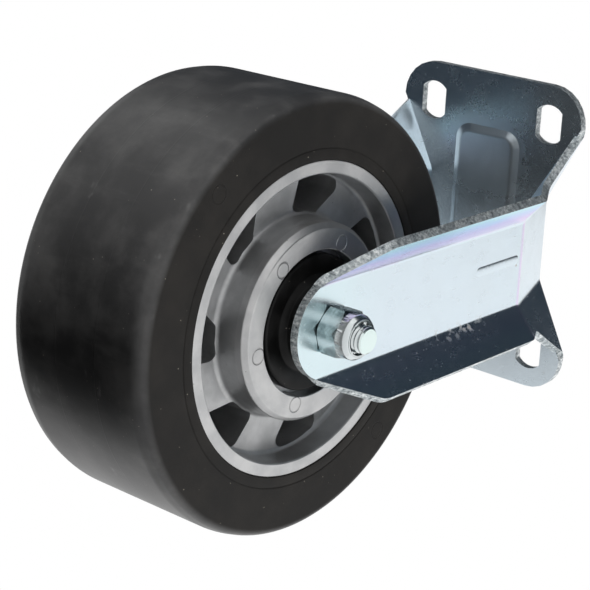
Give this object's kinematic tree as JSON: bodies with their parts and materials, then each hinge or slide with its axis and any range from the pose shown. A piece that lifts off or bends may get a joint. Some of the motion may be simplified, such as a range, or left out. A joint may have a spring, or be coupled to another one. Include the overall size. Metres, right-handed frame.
{
  "type": "fixed castor",
  "caption": "Rigid plate castor: rubber-tyred cast wheel on ball bearings in a pressed steel fork that bolts under a trolley or machine.",
  "frame": {"origin": "centre of the top plate's mounting face", "axes": "+Z out of the mounting face, X the rolling direction, Y along the axle with the nut on the -Y side"},
  "size_m": [0.125, 0.089, 0.18],
  "materials": {
    "fork_zinc": "blue passivated zinc plating, smooth with fine scratches",
    "bolt_zinc": "bright zinc plating",
    "insert_nylon": "dull",
    "tube_steel": "turned",
    "guard_plastic": "satin",
    "bearing_steel": "ground",
    "ball_steel": "polished",
    "cage_steel": "pressed",
    "seal_rubber": "smooth",
    "cast_aluminium": "cast, with turned hub and rim faces",
    "tyre_rubber": "smooth, matt, slightly dusty"
  },
  "bodies": {
    "fork": {"fork_bracket": "fork_zinc", "axle_bolt": "bolt_zinc", "lock_nut": "bolt_zinc", "nut_insert": "insert_nylon", "axle_tube": "tube_steel", "bearing_spacer": "tube_steel", "near_thread_guard": "guard_plastic", "far_thread_guard": "guard_plastic", "near_inner_ring": "bearing_steel", "far_inner_ring": "bearing_steel"},
    "wheel": {"wheel_centre": "cast_aluminium", "tyre": "tyre_rubber", "near_outer_ring": "bearing_steel", "far_outer_ring": "bearing_steel", "near_inner_seal": "seal_rubber", "near_outer_seal": "seal_rubber", "far_inner_seal": "seal_rubber", "far_outer_seal": "seal_rubber"},
    "near_ball_set": {"near_cage": "cage_steel", "near_balls": "ball_steel"},
    "far_ball_set": {"far_cage": "cage_steel", "far_balls": "ball_steel"}
  },
  "joints": [
    {"name": "wheel_spin", "type": "hinge", "parent": "fork", "child": "wheel", "pos_m": [0, 0, -0.1175], "axis": [0, 1, 0], "continuous": true},
    {"name": "near_cage_spin", "type": "hinge", "parent": "fork", "child": "near_ball_set", "pos_m": [0, 0, -0.1175], "axis": [0, 1, 0], "continuous": true},
    {"name": "far_cage_spin", "type": "hinge", "parent": "fork", "child": "far_ball_set", "pos_m": [0, 0, -0.1175], "axis": [0, 1, 0], "continuous": true}
  ],
  "couplings": [
    {"joint": "near_cage_spin", "follows": "wheel_spin", "ratio": 0.619},
    {"joint": "far_cage_spin", "follows": "wheel_spin", "ratio": 0.619}
  ]
}
